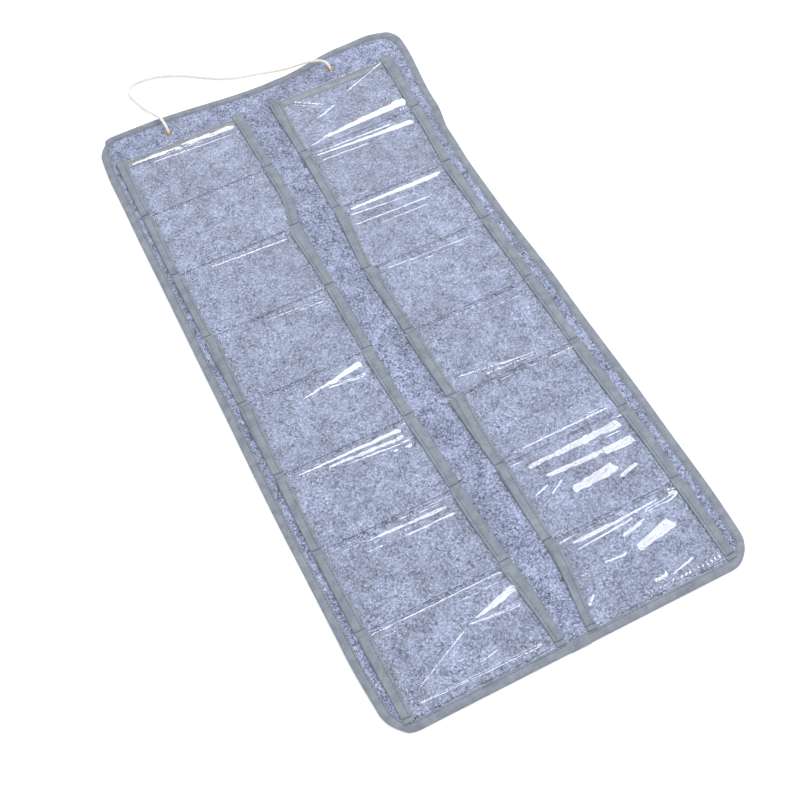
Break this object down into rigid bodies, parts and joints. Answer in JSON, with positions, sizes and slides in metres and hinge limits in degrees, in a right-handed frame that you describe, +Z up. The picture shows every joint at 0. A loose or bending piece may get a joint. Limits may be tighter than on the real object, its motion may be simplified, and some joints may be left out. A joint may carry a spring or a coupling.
{
  "type": "hanging shoe organizer",
  "caption": "Felt hanging organizer with two columns of clear-fronted pockets, folded side strips, a taped edge and a cotton cord through two eyelets.",
  "frame": {"origin": "under the middle of the back panel, on the surface that its back lies on", "axes": "+X across the panel, +Y along it towards the hanging cord, +Z up out of the front with the organizer lying face up"},
  "size_m": [0.6, 1.3486, 0.0244],
  "materials": {
    "felt": "needled felt, mottled light blue grey",
    "tape": "grey green non-woven binding tape",
    "film": "clear soft film, glossy, softly wrinkled",
    "eyelet_metal": "antique brass",
    "cord_cotton": "cream cotton cord"
  },
  "bodies": {
    "organizer_back": {"back_panel": "felt", "edge_binding": "tape", "top_tape_left": "tape", "top_tape_right": "tape", "eyelet_left": "eyelet_metal", "eyelet_right": "eyelet_metal", "hanging_cord": "cord_cotton", "cord_knot_left": "cord_cotton", "cord_knot_right": "cord_cotton"},
    "pocket_left_1": {"pocket_film_left_1": "film", "side_strip_left_1_inner": "tape", "side_strip_left_1_outer": "tape"},
    "pocket_left_2": {"pocket_film_left_2": "film", "side_strip_left_2_inner": "tape", "side_strip_left_2_outer": "tape"},
    "pocket_left_3": {"pocket_film_left_3": "film", "side_strip_left_3_inner": "tape", "side_strip_left_3_outer": "tape"},
    "pocket_left_4": {"pocket_film_left_4": "film", "side_strip_left_4_inner": "tape", "side_strip_left_4_outer": "tape"},
    "pocket_left_5": {"pocket_film_left_5": "film", "side_strip_left_5_inner": "tape", "side_strip_left_5_outer": "tape"},
    "pocket_left_6": {"pocket_film_left_6": "film", "side_strip_left_6_inner": "tape", "side_strip_left_6_outer": "tape"},
    "pocket_left_7": {"pocket_film_left_7": "film", "side_strip_left_7_inner": "tape", "side_strip_left_7_outer": "tape"},
    "pocket_left_8": {"pocket_film_left_8": "film", "side_strip_left_8_inner": "tape", "side_strip_left_8_outer": "tape"},
    "pocket_right_1": {"pocket_film_right_1": "film", "side_strip_right_1_inner": "tape", "side_strip_right_1_outer": "tape"},
    "pocket_right_2": {"pocket_film_right_2": "film", "side_strip_right_2_inner": "tape", "side_strip_right_2_outer": "tape"},
    "pocket_right_3": {"pocket_film_right_3": "film", "side_strip_right_3_inner": "tape", "side_strip_right_3_outer": "tape"},
    "pocket_right_4": {"pocket_film_right_4": "film", "side_strip_right_4_inner": "tape", "side_strip_right_4_outer": "tape"},
    "pocket_right_5": {"pocket_film_right_5": "film", "side_strip_right_5_inner": "tape", "side_strip_right_5_outer": "tape"},
    "pocket_right_6": {"pocket_film_right_6": "film", "side_strip_right_6_inner": "tape", "side_strip_right_6_outer": "tape"},
    "pocket_right_7": {"pocket_film_right_7": "film", "side_strip_right_7_inner": "tape", "side_strip_right_7_outer": "tape"},
    "pocket_right_8": {"pocket_film_right_8": "film", "side_strip_right_8_inner": "tape", "side_strip_right_8_outer": "tape"}
  },
  "joints": [
    {"name": "pocket_left_1_open", "type": "hinge", "parent": "organizer_back", "child": "pocket_left_1", "pos_m": [-0.15, 0.41039, 0.0035], "axis": [1, 0, 0], "range_deg": [0, 22], "deforming": ["side_strip_left_1_inner", "side_strip_left_1_outer"]},
    {"name": "pocket_left_2_open", "type": "hinge", "parent": "organizer_back", "child": "pocket_left_2", "pos_m": [-0.15, 0.26578, 0.0035], "axis": [1, 0, 0], "range_deg": [0, 22], "deforming": ["side_strip_left_2_inner", "side_strip_left_2_outer"]},
    {"name": "pocket_left_3_open", "type": "hinge", "parent": "organizer_back", "child": "pocket_left_3", "pos_m": [-0.15, 0.12118, 0.0035], "axis": [1, 0, 0], "range_deg": [0, 22], "deforming": ["side_strip_left_3_inner", "side_strip_left_3_outer"]},
    {"name": "pocket_left_4_open", "type": "hinge", "parent": "organizer_back", "child": "pocket_left_4", "pos_m": [-0.15, -0.02343, 0.0035], "axis": [1, 0, 0], "range_deg": [0, 22], "deforming": ["side_strip_left_4_inner", "side_strip_left_4_outer"]},
    {"name": "pocket_left_5_open", "type": "hinge", "parent": "organizer_back", "child": "pocket_left_5", "pos_m": [-0.15, -0.16804, 0.0035], "axis": [1, 0, 0], "range_deg": [0, 22], "deforming": ["side_strip_left_5_inner", "side_strip_left_5_outer"]},
    {"name": "pocket_left_6_open", "type": "hinge", "parent": "organizer_back", "child": "pocket_left_6", "pos_m": [-0.15, -0.31265, 0.0035], "axis": [1, 0, 0], "range_deg": [0, 22], "deforming": ["side_strip_left_6_inner", "side_strip_left_6_outer"]},
    {"name": "pocket_left_7_open", "type": "hinge", "parent": "organizer_back", "child": "pocket_left_7", "pos_m": [-0.15, -0.45725, 0.0035], "axis": [1, 0, 0], "range_deg": [0, 22], "deforming": ["side_strip_left_7_inner", "side_strip_left_7_outer"]},
    {"name": "pocket_left_8_open", "type": "hinge", "parent": "organizer_back", "child": "pocket_left_8", "pos_m": [-0.15, -0.60186, 0.0035], "axis": [1, 0, 0], "range_deg": [0, 22], "deforming": ["side_strip_left_8_inner", "side_strip_left_8_outer"]},
    {"name": "pocket_right_1_open", "type": "hinge", "parent": "organizer_back", "child": "pocket_right_1", "pos_m": [0.15, 0.41039, 0.0035], "axis": [1, 0, 0], "range_deg": [0, 22], "deforming": ["side_strip_right_1_inner", "side_strip_right_1_outer"]},
    {"name": "pocket_right_2_open", "type": "hinge", "parent": "organizer_back", "child": "pocket_right_2", "pos_m": [0.15, 0.26578, 0.0035], "axis": [1, 0, 0], "range_deg": [0, 22], "deforming": ["side_strip_right_2_inner", "side_strip_right_2_outer"]},
    {"name": "pocket_right_3_open", "type": "hinge", "parent": "organizer_back", "child": "pocket_right_3", "pos_m": [0.15, 0.12118, 0.0035], "axis": [1, 0, 0], "range_deg": [0, 22], "deforming": ["side_strip_right_3_inner", "side_strip_right_3_outer"]},
    {"name": "pocket_right_4_open", "type": "hinge", "parent": "organizer_back", "child": "pocket_right_4", "pos_m": [0.15, -0.02343, 0.0035], "axis": [1, 0, 0], "range_deg": [0, 22], "deforming": ["side_strip_right_4_inner", "side_strip_right_4_outer"]},
    {"name": "pocket_right_5_open", "type": "hinge", "parent": "organizer_back", "child": "pocket_right_5", "pos_m": [0.15, -0.16804, 0.0035], "axis": [1, 0, 0], "range_deg": [0, 22], "deforming": ["side_strip_right_5_inner", "side_strip_right_5_outer"]},
    {"name": "pocket_right_6_open", "type": "hinge", "parent": "organizer_back", "child": "pocket_right_6", "pos_m": [0.15, -0.31265, 0.0035], "axis": [1, 0, 0], "range_deg": [0, 22], "deforming": ["side_strip_right_6_inner", "side_strip_right_6_outer"]},
    {"name": "pocket_right_7_open", "type": "hinge", "parent": "organizer_back", "child": "pocket_right_7", "pos_m": [0.15, -0.45725, 0.0035], "axis": [1, 0, 0], "range_deg": [0, 22], "deforming": ["side_strip_right_7_inner", "side_strip_right_7_outer"]},
    {"name": "pocket_right_8_open", "type": "hinge", "parent": "organizer_back", "child": "pocket_right_8", "pos_m": [0.15, -0.60186, 0.0035], "axis": [1, 0, 0], "range_deg": [0, 22], "deforming": ["side_strip_right_8_inner", "side_strip_right_8_outer"]}
  ]
}
